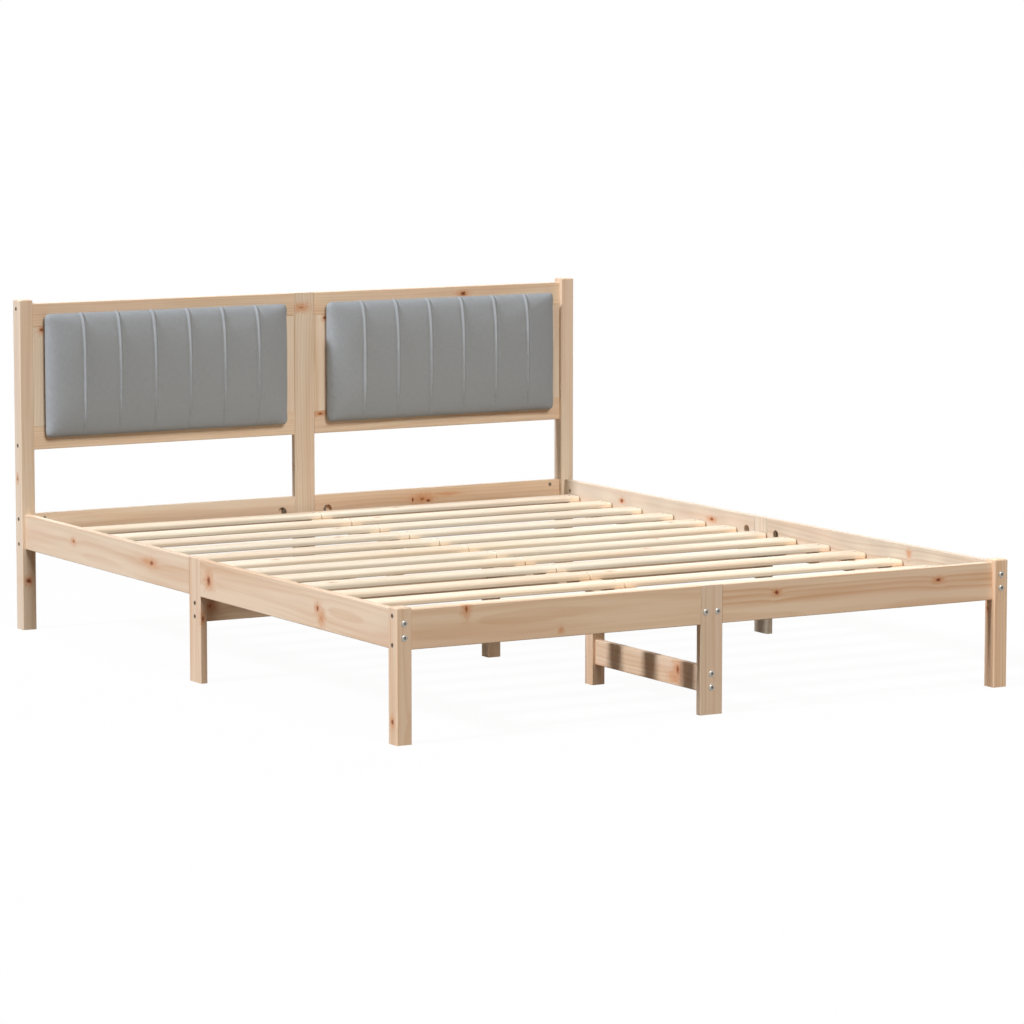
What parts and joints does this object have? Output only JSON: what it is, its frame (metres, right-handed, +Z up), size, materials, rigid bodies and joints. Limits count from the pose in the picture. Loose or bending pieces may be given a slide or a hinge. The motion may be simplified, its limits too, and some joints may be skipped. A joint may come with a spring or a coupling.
{
  "type": "bed frame",
  "caption": "Low pine double bed frame bolted from posts, rails and beams, with a slatted base and a headboard with two channel-sewn grey cushions",
  "frame": {"origin": "on the floor plane, under the middle of the bed's outline seen from above", "axes": "+X across the bed to the right of a person lying in it, +Y from the foot end to the headboard, +Z up"},
  "size_m": [1.655, 2.0575, 0.854],
  "materials": {
    "pine": "clear satin lacquer on planed pine, with knots",
    "slat_pine": "pale planed pine, bare",
    "plywood": "bare plywood",
    "cushion_fabric": "grey woven furniture fabric over foam",
    "bolt_steel": "bright zinc plated steel"
  },
  "bodies": {
    "root": {"head_post_left": "pine", "head_post_right": "pine", "head_post_centre": "pine", "foot_leg_left": "pine", "foot_leg_right": "pine", "foot_leg_centre": "pine", "mid_leg_left": "pine", "mid_leg_right": "pine", "mid_leg_centre": "pine", "quarter_leg_foot": "pine", "quarter_leg_head": "pine", "side_rail_left_foot": "pine", "side_rail_left_head": "pine", "side_rail_right_foot": "pine", "side_rail_right_head": "pine", "foot_rail_left": "pine", "foot_rail_right": "pine", "head_rail_left": "pine", "head_rail_right": "pine", "headboard_top_rail_left": "pine", "headboard_top_rail_right": "pine", "headboard_bottom_rail_left": "pine", "headboard_bottom_rail_right": "pine", "headboard_stile_left_inner": "pine", "headboard_stile_left_outer": "pine", "headboard_stile_right_inner": "pine", "headboard_stile_right_outer": "pine", "slat_ledger_left_foot": "pine", "slat_ledger_left_head": "pine", "slat_ledger_right_foot": "pine", "slat_ledger_right_head": "pine", "centre_beam_foot": "pine", "centre_beam_head": "pine", "cross_beam_left": "pine", "cross_beam_right": "pine", "low_stretcher_foot": "pine", "low_stretcher_head": "pine", "slat_row_01": "slat_pine", "slat_row_02": "slat_pine", "slat_row_03": "slat_pine", "slat_row_04": "slat_pine", "slat_row_05": "slat_pine", "slat_row_06": "slat_pine", "slat_row_07": "slat_pine", "slat_row_08": "slat_pine", "slat_row_09": "slat_pine", "slat_row_10": "slat_pine", "slat_row_11": "slat_pine", "slat_row_12": "slat_pine", "slat_row_13": "slat_pine", "cushion_left": "cushion_fabric", "cushion_right": "cushion_fabric", "cushion_board_left": "plywood", "cushion_board_right": "plywood", "frame_bolts": "bolt_steel", "half_moon_nuts": "bolt_steel"}
  },
  "joints": []
}
